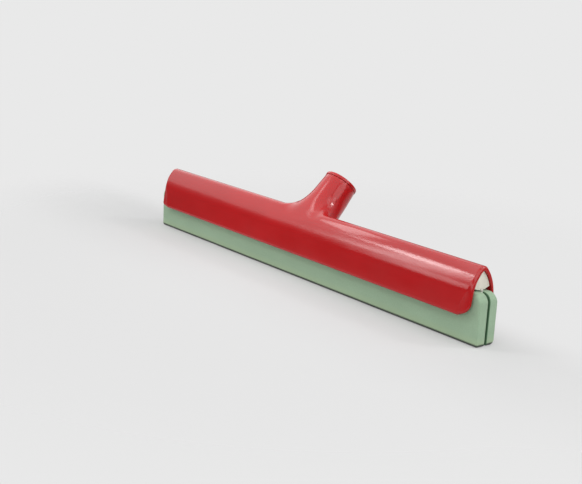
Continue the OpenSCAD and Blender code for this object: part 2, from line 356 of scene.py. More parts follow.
def on_neck(radius, angle, s):
    """Point s mm along the neck's axis, at radius and angle round it. Angle 0 is +X, pi / 2 is the front."""
    u, v = radius * cos(angle), radius * sin(angle)
    return (u, s * sin(NECK_LEAN) - v * cos(NECK_LEAN), NECK_ROOT_Z + s * cos(NECK_LEAN) + v * sin(NECK_LEAN))


def rise_point(spoke, t):
    """Point at share t of the curve that leaves along the arch and arrives along the tube."""
    angle, foot_x, foot_way = spoke[2:]
    y, z, ny, nz = arch_point(foot_way)
    start = Vector((foot_x, y, z))
    # The rear side, where tube and arch meet at a sharp angle, gets a wider and rounder hollow.
    rear = max(0.0, -sin(angle))
    top = TUBE_S + REAR_RISE * rear
    finish = Vector(on_neck(NECK_R + DRAFT * (NECK_REACH - top), angle, top))
    along = Vector((-cos(angle) * FOOT_X, nz * sin(angle) * FOOT_HALF, -ny * sin(angle) * FOOT_HALF))
    up_tube = Vector(on_neck(NECK_R - DRAFT, angle, 1.0)) - Vector(on_neck(NECK_R, angle, 0.0))
    span = (finish - start).length
    leave = along.normalized() * span * LEAVE * (1 - REAR_LEAVE * rear)
    arrive = up_tube * span * ARRIVE * (1 - REAR_ARRIVE * rear)
    h = (2 * t**3 - 3 * t**2 + 1, t**3 - 2 * t**2 + t, -2 * t**3 + 3 * t**2, t**3 - t**2)
    return tuple(start * h[0] + leave * h[1] + finish * h[2] + arrive * h[3])


def tube_profile():
    """(radius, distance along the axis) from the curve's end over the mouth and down the insert's seat."""
    seat_r, rim, foot = INSERT_R + PRESS_GAP, NECK_REACH - 0.02, NECK_REACH - INSERT_LEN
    start, end = TUBE_S + REAR_RISE, rim - MOUTH_R
    plain = [start + (end - start) * i / (FLAT_RINGS - 1) for i in range(FLAT_RINGS)]
    mouth = [(NECK_R - 0.2, rim - 0.25), (NECK_R - MOUTH_R, rim), (seat_r + 0.3, rim), (seat_r, rim - 0.3)]
    seat = [(seat_r, foot), (seat_r - 0.5, foot - 0.5)]
    return [(NECK_R + DRAFT * (end - s), s) for s in plain] + mouth + seat


print(f"the tube is {2 * tube_profile()[0][0]:.1f} mm across where the curve ends")

# %% Weave the neck into the arch
neck_rows = [[(x + (foot_x - x) * j / SPOKE_RINGS,) + arch_point(way + (foot_way - way) * j / SPOKE_RINGS)[:2]
              for x, way, _, foot_x, foot_way in spokes] for j in range(1, SPOKE_RINGS + 1)]
neck_rows += [[rise_point(spoke, j / RISE_RINGS) for spoke in spokes] for j in range(1, RISE_RINGS + 1)]
neck_rows += [[on_neck(radius, spoke[2], s) for spoke in spokes] for radius, s in tube_profile()]
lower, count = window, len(spokes)
for row in neck_rows:
    upper = [len(skin_points) + i for i in range(count)]
    skin_points += row
    for i in range(count):
        j = (i + 1) % count
        skin_faces.append((lower[i], lower[j], upper[j], upper[i]))
    lower = upper
skin_faces.append(tuple(lower))
print(len(skin_faces), "faces in the skin")


# %% Rails inside the flanks
RAIL_T, RAIL_TIP_T, RAIL_CLEAR, RAIL_X = 2.5, 1.25, 0.55, 225.0


def rail_outline(side):
    """Ledge that carries the cassette's foot on one flank."""
    top = FOOT_Z - SLIDE_GAP
    low = top - RAIL_T
    rail_in = SLIT / 2 + BLADE_T + RAIL_CLEAR
    half = lambda z: SHOULDER_HALF + (BLADE_H - z) * tan(FLANK) - WALL / 2 / cos(FLANK)
    shape = [(rail_in, top - RAIL_TIP_T), (half(low), low), (half(top), top), (rail_in, top)]
    return shape if side > 0 else [(-y, z) for y, z in reversed(shape)]


for side in (1, -1):
    more_points, more_faces = drawn([rail_outline(side)], -RAIL_X, RAIL_X, first=len(skin_points))
    skin_points += more_points
    skin_faces += more_faces
shell = make_object("shell_moulding", skin_points, skin_faces, sharp=radians(48))

# %% [markdown]
# ## The socket insert
#
# The handle screws into a separate insert that is pressed into the neck. Only its collar shows from
# the front. From behind one looks down its bore, which has a coarse moulded thread. The insert is
# turned on a lathe in code first. Geometry Nodes then cut the thread, because a thread follows a
# rule: the wall moves outwards by a height that depends on how far up and how far round a point is.

# %% Turn the insert
TURNS, BORE_ROWS, COLLAR_STEPS = 144, 168, 6
# Small broken edges, and the funnel that leads the handle into the thread: its width, then its depth.
SLEEVE_BREAK, COLLAR_BREAK, FUNNEL_W, FUNNEL_H = 0.4, 0.35, 1.5, 1.7


def insert_profile():
    """(radius, distance along the axis) from the sleeve's foot over the collar to the foot of the bore."""
    foot, rim, top = NECK_REACH - INSERT_LEN, NECK_REACH, NECK_REACH + COLLAR_H
    r, edge = NECK_R + COLLAR_LIP, COLLAR_H / 3
    out = [(INSERT_R - SLEEVE_BREAK, foot), (INSERT_R, foot + SLEEVE_BREAK), (INSERT_R, rim + 0.01)]
    out += [(r - COLLAR_BREAK, rim + 0.01), (r, rim + COLLAR_BREAK), (r, top - edge)]
    out += [(r - edge + edge * cos(a), top - edge + edge * sin(a))
            for a in (pi / 2 * i / COLLAR_STEPS for i in range(1, COLLAR_STEPS + 1))]
    out += [(THREAD_R + 1.9, top), (THREAD_R + FUNNEL_W, top - 0.12), (THREAD_R + 0.1, top - FUNNEL_W)]
    bore_top = top - FUNNEL_H
    return out + [(THREAD_R, bore_top - (bore_top - foot) * i / BORE_ROWS) for i in range(BORE_ROWS + 1)]


lathe = insert_profile()
lathe_points = [(r * cos(2 * pi * i / TURNS), r * sin(2 * pi * i / TURNS), s)
                for r, s in lathe for i in range(TURNS)]
# The profile is closed, so the ring after the last one is the first again.
lathe_faces = [tuple(i % len(lathe_points) for i in face) for face in ring_faces(len(lathe) + 1, TURNS)]
insert = make_object("socket_insert_threaded", lathe_points, lathe_faces, sharp=radians(40))
print("the bore has", BORE_ROWS, "rows for the thread")

# %% [markdown]
# The tree has named inputs for the pitch, the depth and the two ends of the thread. It works while
# the insert still stands upright at the origin, where the distance up the axis is simply Z.


# %% Small helpers for node trees
def add(tree, kind, links=(), **settings):
    """Adds a node, sets its properties and inputs, and links (source, input name) pairs to it.

    A source is an output, or a node whose first output is meant.
    """
    node = tree.nodes.new(kind)
    inputs = settings.pop("inputs", {})
    for key, value in settings.items():
        setattr(node, key, value)
    for key, value in inputs.items():
        node.inputs[key].default_value = value
    for source, key in links:
        tree.links.new(source.outputs[0] if isinstance(source, bpy.types.Node) else source, node.inputs[key])
    return node


def open_tree(name, numbers):
    """An empty Geometry Nodes tree with named numbers on its outside, and the outputs of its input node."""
    tree = bpy.data.node_groups.new(name, "GeometryNodeTree")
    tree.interface.new_socket("Geometry", in_out="INPUT", socket_type="NodeSocketGeometry")
    for label, value in numbers.items():
        tree.interface.new_socket(label, in_out="INPUT", socket_type="NodeSocketFloat").default_value = value
    tree.interface.new_socket("Geometry", in_out="OUTPUT", socket_type="NodeSocketGeometry")
    return tree, add(tree, "NodeGroupInput").outputs


def end_tree(tree, geometry, material):
    """Ends a tree with real geometry, because the export drops instances, and with its material."""
    whole = add(tree, "GeometryNodeRealizeInstances", [(geometry, 0)])
    done = add(tree, "GeometryNodeSetMaterial", [(whole, "Geometry")], inputs={"Material": material})
    add(tree, "NodeGroupOutput", [(done, 0)])
    return tree


def run_tree(piece, tree, values):
    """Gives the piece what the tree makes of it, as a plain mesh, and leaves no modifier behind."""
    modifier = piece.modifiers.new(tree.name, "NODES")
    modifier.node_group = tree
    names = {item.name: item.identifier for item in tree.interface.items_tree if item.item_type == "SOCKET"}
    for name, value in values.items():
        modifier[names[name]] = value
    bpy.context.view_layer.update()
    result = piece.evaluated_get(bpy.context.evaluated_depsgraph_get())
    mesh = bpy.data.meshes.new_from_object(result)
    piece.modifiers.remove(modifier)
    old, piece.data = piece.data, mesh
    mesh.name = old.name + "_made"
    bpy.data.meshes.remove(old)
    print(f"{tree.name} on {piece.name}: {len(mesh.vertices)} vertices")


# %% The thread
# A coarse handle thread. Its ends fade in over FADE_MM, and points within NEAR_MM of the bore's wall move.
PITCH, THREAD_DEPTH, FADE_MM, NEAR_MM = 5.0, 1.2, 3.0, 0.05
# Shares of the pitch, from the middle of the groove: where its floor ends, and where its slope ends.
GROOVE_FLOOR, GROOVE_EDGE = 0.17, 0.33


def thread_tree(material):
    """Tree that cuts a coarse thread into a bore along Z."""
    tree, given = open_tree("coarse_thread", {"Pitch": PITCH * MM, "Depth": THREAD_DEPTH * MM,
                                              "Bore radius": THREAD_R * MM, "Lowest": 0.0, "Highest": 1.0})
    place = add(tree, "GeometryNodeInputPosition")
    # The frame of a piece has MID_Y added to its Y, so that is taken off before the angle is read.
    centred = add(tree, "ShaderNodeVectorMath", [(place, 0)], operation="SUBTRACT",
                  inputs={1: (0.0, MID_Y * MM, 0.0)})
    split = add(tree, "ShaderNodeSeparateXYZ", [(centred, 0)])
    angle = add(tree, "ShaderNodeMath", [(split.outputs["Y"], 0), (split.outputs["X"], 1)],
                operation="ARCTAN2")
    turn = add(tree, "ShaderNodeMath", [(angle, 0)], operation="DIVIDE", inputs={1: 2 * pi})
    rise = add(tree, "ShaderNodeMath", [(split.outputs["Z"], 0), (given["Pitch"], 1)], operation="DIVIDE")
    phase = add(tree, "ShaderNodeMath", [(rise, 0), (turn, 1)], operation="SUBTRACT")
    wave = add(tree, "ShaderNodeMath", [(phase, 0)], operation="FRACT")
    # A trapezium: crest, slope, root and slope again over one pitch.
    ramp = add(tree, "ShaderNodeMath", [(wave, 0)], operation="SUBTRACT", inputs={1: 0.5})
    fold = add(tree, "ShaderNodeMath", [(ramp, 0)], operation="ABSOLUTE")
    height = add(tree, "ShaderNodeMapRange", [(fold, "Value")],
                 inputs={"From Min": GROOVE_FLOOR, "From Max": GROOVE_EDGE, "To Min": 1.0, "To Max": 0.0})
    fades = []
    for end, sign in (("Lowest", 1), ("Highest", -1)):
        past = add(tree, "ShaderNodeMath", [(split.outputs["Z"], 0), (given[end], 1)], operation="SUBTRACT")
        fades.append(add(tree, "ShaderNodeMapRange", [(past, "Value")],
                         inputs={"From Min": 0.0, "From Max": sign * FADE_MM * MM,
                                 "To Min": 0.0, "To Max": 1.0}))
    both = add(tree, "ShaderNodeMath", [(fades[0], 0), (fades[1], 1)], operation="MULTIPLY")
    deep = add(tree, "ShaderNodeMath", [(height, 0), (both, 1)], operation="MULTIPLY")
    size = add(tree, "ShaderNodeMath", [(deep, 0), (given["Depth"], 1)], operation="MULTIPLY")
    flat = add(tree, "ShaderNodeVectorMath", [(centred, 0)], operation="MULTIPLY",
               inputs={1: (1.0, 1.0, 0.0)})
    away = add(tree, "ShaderNodeVectorMath", [(flat, 0)], operation="NORMALIZE")
    radius = add(tree, "ShaderNodeVectorMath", [(flat, 0)], operation="LENGTH")
    near = add(tree, "ShaderNodeMath", [(radius.outputs["Value"], 0), (given["Bore radius"], 1)],
               operation="COMPARE", inputs={2: NEAR_MM * MM})
    move = add(tree, "ShaderNodeVectorMath", [(away, 0), (size, "Scale")], operation="SCALE")
    cut = add(tree, "GeometryNodeSetPosition", [(given["Geometry"], "Geometry"),
                                                (near, "Selection"), (move, "Offset")])
    return end_tree(tree, cut, material)


print(f"the thread has {(INSERT_LEN + COLLAR_H - FUNNEL_H) / PITCH:.1f} turns")

# %% [markdown]
# ## Materials
#
# Colours are written as they look on a screen. One function turns them into the linear numbers that
# the renderer adds up.

# %% Colours and the base of a material
def linear(hex_colour):
    """Linear RGBA of an sRGB hex colour."""
    parts = [int(hex_colour[i:i + 2], 16) / 255 for i in (1, 3, 5)]
    return tuple(c / 12.92 if c <= 0.04045 else ((c + 0.055) / 1.055) ** 2.4 for c in parts) + (1.0,)


def new_material(name):
    """(material, tree, shader, Object coordinates) of an empty material."""
    material = bpy.data.materials.new(name)
    material.use_nodes = True
    tree = material.node_tree
    shader = tree.nodes["Principled BSDF"]
    where = add(tree, "ShaderNodeTexCoord")
    return material, tree, shader, where.outputs["Object"]


def patches(tree, where, size_mm, detail=3.0, stretch=(1, 1, 1)):
    """Random patches about size_mm across."""
    room = add(tree, "ShaderNodeMapping", [(where, "Vector")], inputs={"Scale": stretch})
    return add(tree, "ShaderNodeTexNoise", [(room, "Vector")],
               inputs={"Scale": 1 / (size_mm * MM), "Detail": detail, "Roughness": 0.55})


def mottled(tree, where, dark, light, size_mm, detail, stretch, low=0.35, high=0.65):
    """Colour that drifts between two hex colours in patches about size_mm across."""
    tone = patches(tree, where, size_mm, detail, stretch)
    ramp = add(tree, "ShaderNodeValToRGB", [(tone.outputs["Fac"], "Fac")])
    for end, position, hex_colour in zip(ramp.color_ramp.elements, (low, high), (dark, light)):
        end.position, end.color = position, linear(hex_colour)
    return ramp.outputs["Color"]


print(f"a mid grey, #808080, is {linear('#808080')[0]:.2f} of white")

# %% [markdown]
# The shell is polypropylene, injection moulded against a polished steel tool. That gives a smooth
# gloss with a faint unevenness like orange peel, and the pigment is very even. Long handling leaves
# the gloss a little patchy, which the roughness shows and the colour doesn't.

# %% Moulded plastic
# Patches of gloss from handling, the height of the orange peel, and how long the sink waves are.
PATCH_MM, PEEL_H_MM, SINK_WAVE_MM = 14.0, 0.2, 30.0


def moulded_plastic(name, dark, light, rough_low, rough_high,
                    peel_mm=2.2, peel=0.05, mottle_mm=26.0, sink_mm=0.6):
    """Moulded plastic: even pigment, patchy gloss and orange peel."""
    material, tree, shader, where = new_material(name)
    tone = mottled(tree, where, dark, light, mottle_mm, 2.0, (0.5, 1, 1))
    tree.links.new(tone, shader.inputs["Base Color"])
    patch = patches(tree, where, PATCH_MM, 4.0, (0.4, 1, 1))
    gloss = add(tree, "ShaderNodeMapRange", [(patch.outputs["Fac"], "Value")],
                inputs={"From Min": 0.3, "From Max": 0.7, "To Min": rough_low, "To Max": rough_high})
    tree.links.new(gloss.outputs[0], shader.inputs["Roughness"])
    waves = patches(tree, where, peel_mm, 1.0)
    skin = add(tree, "ShaderNodeBump", [(waves.outputs["Fac"], "Height")],
               inputs={"Strength": peel, "Distance": PEEL_H_MM * MM})
    # The wall also sinks a little as it cools, in long shallow waves that bend the reflections.
    sink = patches(tree, where, SINK_WAVE_MM, 1.0, (0.45, 1, 1))
    bump = add(tree, "ShaderNodeBump", [(sink.outputs["Fac"], "Height"), (skin, "Normal")],
               inputs={"Strength": 0.5, "Distance": sink_mm * MM})
    tree.links.new(bump.outputs[0], shader.inputs["Normal"])
    shader.inputs["IOR"].default_value = 1.49
    shader.inputs["Specular IOR Level"].default_value = 0.44
    print("material", name)
    return material


red_shell = moulded_plastic("moulded_polypropylene_red", "#A9090D", "#AF0B10", 0.13, 0.19)

# %% [markdown]
# The other plastics differ from it in tone, gloss and skin. The insert is nylon, moulded as smooth as the
# shell but dyed a shade deeper. The end plugs are polyethylene, which is soft and waxy: cream, nearly
# matt, with a visible skin. The carrier and the wedge strip are PVC pushed through a die, satin and
# a little grey.

# %% The other plastics
red_insert = moulded_plastic("moulded_nylon_red", "#AB0408", "#B1060A", 0.13, 0.19)
white_plug = moulded_plastic("moulded_polyethylene_cream", "#DAD6C8", "#E4E1D4", 0.48, 0.62,
                             peel_mm=3.0, peel=0.12, mottle_mm=7.0)
white_cassette = moulded_plastic("extruded_pvc_white", "#D4D1C7", "#DCD9D0", 0.38, 0.48,
                                 peel_mm=2.5, peel=0.05, mottle_mm=30.0)

# %% [markdown]
# The blades are closed-cell foam rubber, sawn from a block. The saw opens the outer cells, so the
# face is matt and finely pitted, and the cells, half a millimetre wide, show as a speckle, with
# painted shade that darkens the middle of each pit. The foam is paler and yellower towards its lowest
# edge, and a thin dark line along that edge is a painted contact shadow. The faces of the slit between
# the blades are painted darker as shade.

# %% Closed-cell foam rubber
# Real cells are about 0.4 mm wide. They are drawn at 0.9 mm, so that they still show in the render.
CELL_MM, PIT_MM, CLOUD_MM = 0.9, 0.2, 20.0
# How high the foam is paler, and the heights in mm where the painted contact shadow starts to fade and is
# gone.
PALE_EDGE_MM, CONTACT_SHADOW_FROM_MM, CONTACT_SHADOW_TO_MM = 9.0, 1.8, 3.0


def foam_rubber(name):
    """Sawn closed-cell foam."""
    material, tree, shader, where = new_material(name)
    body = mottled(tree, where, "#90A98E", "#98B296", CLOUD_MM, 3.0, (0.35, 1, 1), 0.3, 0.7)
    cells = add(tree, "ShaderNodeTexVoronoi", [(where, "Vector")], inputs={"Scale": 1 / (CELL_MM * MM)})
    # The cut cells are painted darker towards their middles, as shade in the pits that the bump below makes.
    pit_shade = add(tree, "ShaderNodeMapRange", [(cells.outputs["Distance"], "Value")],
               inputs={"From Min": 0.0, "From Max": 0.55, "To Min": 0.90, "To Max": 1.03})
    speckled = add(tree, "ShaderNodeVectorMath", [(body, 0), (pit_shade, "Scale")], operation="SCALE")
    split = add(tree, "ShaderNodeSeparateXYZ", [(where, 0)])
    across = add(tree, "ShaderNodeMath", [(split.outputs["Y"], 0)], operation="SUBTRACT",
                 inputs={1: MID_Y * MM})
    inward = add(tree, "ShaderNodeMath", [(across, 0)], operation="ABSOLUTE")
    # Each layer is strongest up to one distance and gone at the next.
    layers = (
        # The foam is paler and yellower in its lowest few millimetres.
        (split.outputs["Z"], 0.0, PALE_EDGE_MM, 0.55, "#AABB90"),
        # A painted contact shadow: a thin dark line along the lowest edge, where the foam turns under onto
        # the floor.
        (split.outputs["Z"], CONTACT_SHADOW_FROM_MM, CONTACT_SHADOW_TO_MM, 0.95, "#2C302D"),
        # The faces of the slit between the blades are painted darker: painted shade in the narrow gap.
        (inward, SLIT / 2 + OPEN + 0.1, SLIT / 2 + OPEN + 0.7, 0.85, "#3F6A48"),
    )
    tone = speckled.outputs[0]
    for distance, full_mm, gone_mm, strength, hex_colour in layers:
        share = add(tree, "ShaderNodeMapRange", [(distance, "Value")],
                    inputs={"From Min": full_mm * MM, "From Max": gone_mm * MM,
                            "To Min": strength, "To Max": 0.0})
        layer = add(tree, "ShaderNodeMix", [(share, "Factor"), (tone, "A")], data_type="RGBA")
        layer.inputs["B"].default_value = linear(hex_colour)
        tone = layer.outputs["Result"]
    tree.links.new(tone, shader.inputs["Base Color"])
    bump = add(tree, "ShaderNodeBump", [(cells.outputs["Distance"], "Height")],
               inputs={"Strength": 0.35, "Distance": PIT_MM * MM})
    tree.links.new(bump.outputs[0], shader.inputs["Normal"])
    shader.inputs["Roughness"].default_value = 0.88
    shader.inputs["Sheen Weight"].default_value = 0.12
    shader.inputs["IOR"].default_value = 1.45
    print("material", name)
    return material


green_foam = foam_rubber("closed_cell_foam_green")

# %% Cut the thread and lean the insert into the neck
run_tree(insert, thread_tree(red_insert), {"Lowest": (NECK_REACH - INSERT_LEN) * MM,
                                           "Highest": (NECK_REACH + COLLAR_H - FUNNEL_H) * MM})
lean = (Matrix.Translation((0, MID_Y * MM, NECK_ROOT_Z * MM)) @ Matrix.Rotation(-NECK_LEAN, 4, "X")
        @ Matrix.Translation((0, -MID_Y * MM, 0)))
insert.data.transform(lean)
insert.data.update()

# %% [markdown]
# ## The cassette
#
# A white plastic extrusion with two jaws carries the blades. Its section is one outline with a hollow
# in the crown. The teeth on the jaws bite into the foam, and a keyhole in the floor holds the bead of
# the wedge strip. The two end plugs are moulded: a thick plate closes the arch, and a tongue behind it
# sits in the crown.


# %% Outlines of the cassette
def arch_run(depth, low_z, steps=48):
    """Arch at a depth under the shell's outer face, from +Y over the ridge to -Y, cut level at low_z."""
    reach = way_to(low_z, depth)
    return [arch_point(reach * (1 - 2 * i / steps), depth)[:2] for i in range(steps + 1)]


def teeth(face_y, heights, side):
    """Points of teeth on an upright face, from the lowest tooth up. Side 1 points towards +Y."""
    half = BARB_H / 2
    return [p for z in heights for p in ((face_y, z - half), (face_y + side * BARB, z), (face_y, z + half))]


CARRIER_OFF = WALL + SLIDE_GAP
CROWN_OFF = CARRIER_OFF + CARRIER_WALL
CHANNEL_Z = BLADE_H + GRIP_GAP
POCKET_R = BEAD_R + GRIP_GAP
STEM_T = SLIT - 2 * GRIP_GAP
BOSS_HALF, BOSS_Z = POCKET_R + FLOOR_T, BEAD_Z + POCKET_R + FLOOR_T / 2
neck_half = STEM_T / 2 + GRIP_GAP
open_angle = asin(neck_half / POCKET_R)
keyhole = ring(0, BEAD_Z, POCKET_R, -pi / 2 - open_angle, -5 * pi / 2 + open_angle, 24)
jaw_left = teeth(-JAW_IN, [FOOT_Z + 3, FOOT_Z + 8], 1)
jaw_right = [(-y, z) for y, z in reversed(jaw_left)]
carrier_outline = (arch_run(CARRIER_OFF, FOOT_Z) + [(-JAW_IN, FOOT_Z)] + jaw_left + [(-JAW_IN, CHANNEL_Z)]
                   + [(-neck_half, CHANNEL_Z)] + keyhole + [(neck_half, CHANNEL_Z), (JAW_IN, CHANNEL_Z)]
                   + jaw_right + [(JAW_IN, FOOT_Z)])


def crown_outline(depth, floor_z, boss_half, boss_z):
    """Space in the crown above the floor and its boss, anticlockwise."""
    over = arch_run(depth, floor_z, 40)
    return over + [(-boss_half, floor_z), (-boss_half, boss_z), (boss_half, boss_z), (boss_half, floor_z)]


crown = crown_outline(CROWN_OFF, CHANNEL_Z + FLOOR_T, BOSS_HALF, BOSS_Z)
carrier_skin = drawn([carrier_outline, crown[::-1]], -CARRIER_LEN / 2, CARRIER_LEN / 2, 0.15, 2)
carrier = make_object("jaw_carrier", *carrier_skin, sharp=radians(30))

# %% End plugs
# The plate's lower edge rises by PLATE_RISE towards both flanks, which leaves a dark wedge over the foam.
PLATE_RISE, FLAT_SHARE = 2.2, 0.45
notch_angle = asin((BEAD_Z - PLATE_Z) / POCKET_R)
notch = ring(0, BEAD_Z, POCKET_R, pi + notch_angle, -notch_angle, 18)
plate_arch = arch_run(CARRIER_OFF, PLATE_Z + PLATE_RISE)
flat_half = plate_arch[0][0] * FLAT_SHARE
plate_outline = plate_arch + [(-flat_half, PLATE_Z)] + notch + [(flat_half, PLATE_Z)]
tongue_outline = crown_outline(CROWN_OFF + PRESS_GAP, CHANNEL_Z + FLOOR_T + PRESS_GAP, BOSS_HALF + PRESS_GAP,
                               BOSS_Z + PRESS_GAP)
plugs = []
for name, side in (("end_plug_left_plate", -1), ("end_plug_right_plate", 1)):
    inner, outer = side * CARRIER_LEN / 2, side * PLATE_X
    plug_points, plug_faces = drawn([plate_outline], min(inner, outer), max(inner, outer), 0.5, 4)
    back = side * (CARRIER_LEN / 2 - TONGUE_LEN)
    tongue_points, tongue_faces = drawn([tongue_outline], min(inner, back), max(inner, back), 0.3, 2,
                                        first=len(plug_points))
    plugs.append(make_object(name, plug_points + tongue_points, plug_faces + tongue_faces, sharp=radians(30)))

# %% Wedge strip
STEM_H = 16.0
stem_low = BLADE_H - STEM_H
stem_teeth_z = [BLADE_H - 13, BLADE_H - 8, BLADE_H - 3.5]
stem_right = teeth(STEM_T / 2, stem_teeth_z, 1)
bead_open = asin(STEM_T / 2 / BEAD_R)
bead = ring(0, BEAD_Z, BEAD_R, -pi / 2 + bead_open, 3 * pi / 2 - bead_open, 24)
strip_outline = ([(STEM_T / 2, stem_low)] + stem_right + bead + [(-y, z) for y, z in reversed(stem_right)]
                 + [(-STEM_T / 2, stem_low)])
strip_skin = drawn([strip_outline], -STRIP_LEN / 2, STRIP_LEN / 2, 0.3, 3)
strip = make_object("wedge_strip_barbed", *strip_skin, sharp=radians(30))

# %% [markdown]
# ## The foam blades
#
# Each blade is a long strip, about 10 mm thick, squeezed by 1.65 mm between a jaw and the wedge
# strip. Below the jaw the foam swells back to its full thickness. The upper corners of its ends are
# cut round. A skin of rings along X gives the shape, and a Geometry Nodes tree then lets the soft
# faces wander by a few tenths of a millimetre, as they do on any foam strip.


# %% Section of a blade
# Radii of the edges: upper outer, upper inner, lower inner, lower end, the lower outer one of each blade, and
# the broken edge of the sawn end faces.
TOP_EDGE, INNER_TOP_R, INNER_LOW_R, END_LOW_R = 3.6, 1.4, 0.8, 1.6
FRONT_LOW_R, REAR_LOW_R, SAWN_EDGE = 1.6, 4.0, 0.5
# Lengths over which the squeeze fades past the carrier's end and below its foot, and how far and over what
# height the blades lean together.
RELEASE_RUN, GRIP_RUN, LEAN_IN, LEAN_RUN = 7.0, 4.0, 0.15, 24.0


def between(start, end, count):
    """The inner points of a straight line cut into count parts."""
    return [tuple(a + (b - a) * i / count for a, b in zip(start, end)) for i in range(1, count)]


def blade_ring(x, inset, low_r):
    """Outline of a rear blade at x, drawn in by inset near its ends, with low_r at its outer bottom edge."""
    half = BLADE_LEN / 2
    past_top, past_low = abs(x) - (half - BLADE_TOP_R), abs(x) - (half - END_LOW_R)
    top = BLADE_H - (BLADE_TOP_R - sqrt(max(0.0, BLADE_TOP_R ** 2 - past_top ** 2)) if past_top > 0 else 0.0)
    low = END_LOW_R - sqrt(max(0.0, END_LOW_R ** 2 - past_low ** 2)) if past_low > 0 else 0.0
    held = 1 - smooth((abs(x) - CARRIER_LEN / 2 + 1.0) / RELEASE_RUN)
    inner_y, outer_y = SLIT / 2 + OPEN, SLIT / 2 + BLADE_T
    outline = ring(outer_y - low_r, low + low_r, low_r, -pi / 2, 0, 8)
    outline += between((outer_y, low + low_r), (outer_y, top - TOP_EDGE - 0.2), 26)
    outline += ring(outer_y - TOP_EDGE, top - TOP_EDGE, TOP_EDGE, 0, pi / 2, 6)
    outline += between((outer_y - TOP_EDGE, top), (inner_y + 1.6, top), 6)
    outline += ring(inner_y + INNER_TOP_R, top - INNER_TOP_R, INNER_TOP_R, pi / 2, pi, 5)
    outline += between((inner_y, top - INNER_TOP_R), (inner_y, low + INNER_LOW_R), 22)
    outline += ring(inner_y + INNER_LOW_R, low + INNER_LOW_R, INNER_LOW_R, pi, 3 * pi / 2, 3)
    outline += between((inner_y + INNER_LOW_R, low), (outer_y - low_r, low), 6)
    squeezed = []
    for (y, z), n in zip(outline, outward(outline)):
        across = (y - inner_y) / (outer_y - inner_y)
        y -= across * SQUEEZE * held * smooth((z - FOOT_Z + 3.5) / GRIP_RUN)
        # The two blades lean together below the wedge strip, so the slit is narrower near the floor.
        y -= (1 - across * 0.6) * LEAN_IN * smooth((stem_low - z) / LEAN_RUN)
        bite = inset * (1 + 2.5 * across)
        squeezed.append((y - bite * n.x, z - bite * n.y))
    return squeezed


print(len(blade_ring(0.0, 0.0, FRONT_LOW_R)), "points in a blade's section")


# %% Skin of a blade
# Runs of rings from the middle to one end: start, step and number.
BLADE_RUNS = ((0.0, 4.0, 57), (228.0, 2.0, 7), (241.9, 0.9, 8))


def blade_stations():
    """(x, inset) of the rings, close together at the ends."""
    half, edge = BLADE_LEN / 2, SAWN_EDGE
    right = [start + step * i for start, step, n in BLADE_RUNS for i in range(n)]
    right = [(x, 0.0) for x in right if x < half - edge - 0.2]
    right += [(half - edge * (1 - sin(pi / 2 * i / 4)), edge * (1 - cos(pi / 2 * i / 4))) for i in range(5)]
    return [(-x, inset) for x, inset in reversed(right[1:])] + right


def blade_skin(side):
    """(points, faces) of one blade. Side 1 is the rear one."""
    stations = blade_stations()
    low_r = REAR_LOW_R if side > 0 else FRONT_LOW_R
    points = [(x, side * y, z) for x, inset in stations for y, z in blade_ring(x, inset, low_r)]
    n = len(points) // len(stations)
    faces = ring_faces(len(stations), n)
    for k in (0, len(stations) - 1):
        loop = [Vector((points[k * n + i][1], points[k * n + i][2], 0)) for i in range(n)]
        faces += [tuple(k * n + i for i in t) for t in tessellate_polygon([loop])]
    return points, faces


rear_blade = make_object("rear_foam_blade", *blade_skin(1), sharp=radians(50))
front_blade = make_object("front_foam_blade", *blade_skin(-1), sharp=radians(50))


# %% Let the foam wander
WANDER_MM, WAVE_MM = 0.4, 60.0
# Where the foam begins to move and where it moves in full, in mm below the carrier's foot.
MOVE_FROM_MM, MOVE_FULL_MM = -2.0, 16.0


def wander_tree(material):
    """Tree that moves each point sideways by smooth noise, less where the foam is gripped."""
    tree, given = open_tree("foam_wander", {"Amount": WANDER_MM * MM, "Wave length": WAVE_MM * MM,
                                            "Gripped above": FOOT_Z * MM, "Seed": 3.0})
    place = add(tree, "GeometryNodeInputPosition")
    waves = add(tree, "ShaderNodeMath", [(given["Wave length"], 1)], operation="DIVIDE", inputs={0: 1.0})
    lumps = add(tree, "ShaderNodeTexNoise",
                [(place, "Vector"), (waves, "Scale"), (given["Seed"], "W")],
                noise_dimensions="4D", inputs={"Detail": 1.0})
    swing = add(tree, "ShaderNodeMath", [(lumps.outputs["Fac"], 0)], operation="SUBTRACT", inputs={1: 0.5})
    split = add(tree, "ShaderNodeSeparateXYZ", [(place, 0)])
    above = add(tree, "ShaderNodeMath", [(given["Gripped above"], 0), (split.outputs["Z"], 1)],
                operation="SUBTRACT")
    free = add(tree, "ShaderNodeMapRange", [(above, "Value")],
               inputs={"From Min": MOVE_FROM_MM * MM, "From Max": MOVE_FULL_MM * MM,
                       "To Min": 0.0, "To Max": 1.0})
    size = add(tree, "ShaderNodeMath", [(swing, 0), (free, 1)], operation="MULTIPLY")
    scaled = add(tree, "ShaderNodeMath", [(size, 0), (given["Amount"], 1)], operation="MULTIPLY")
    twice = add(tree, "ShaderNodeMath", [(scaled, 0)], operation="MULTIPLY", inputs={1: 2.0})
    move = add(tree, "ShaderNodeCombineXYZ", [(twice, "Y")])
    moved = add(tree, "GeometryNodeSetPosition",
                [(given["Geometry"], "Geometry"), (move, "Offset")])
    return end_tree(tree, moved, material)


foam_tree = wander_tree(green_foam)
run_tree(rear_blade, foam_tree, {"Seed": 3.0})
run_tree(front_blade, foam_tree, {"Seed": 8.0})

# %% [markdown]
# ## Put each piece on its body
#
# The head carries the shell and the insert. All the rest slides with the cassette.

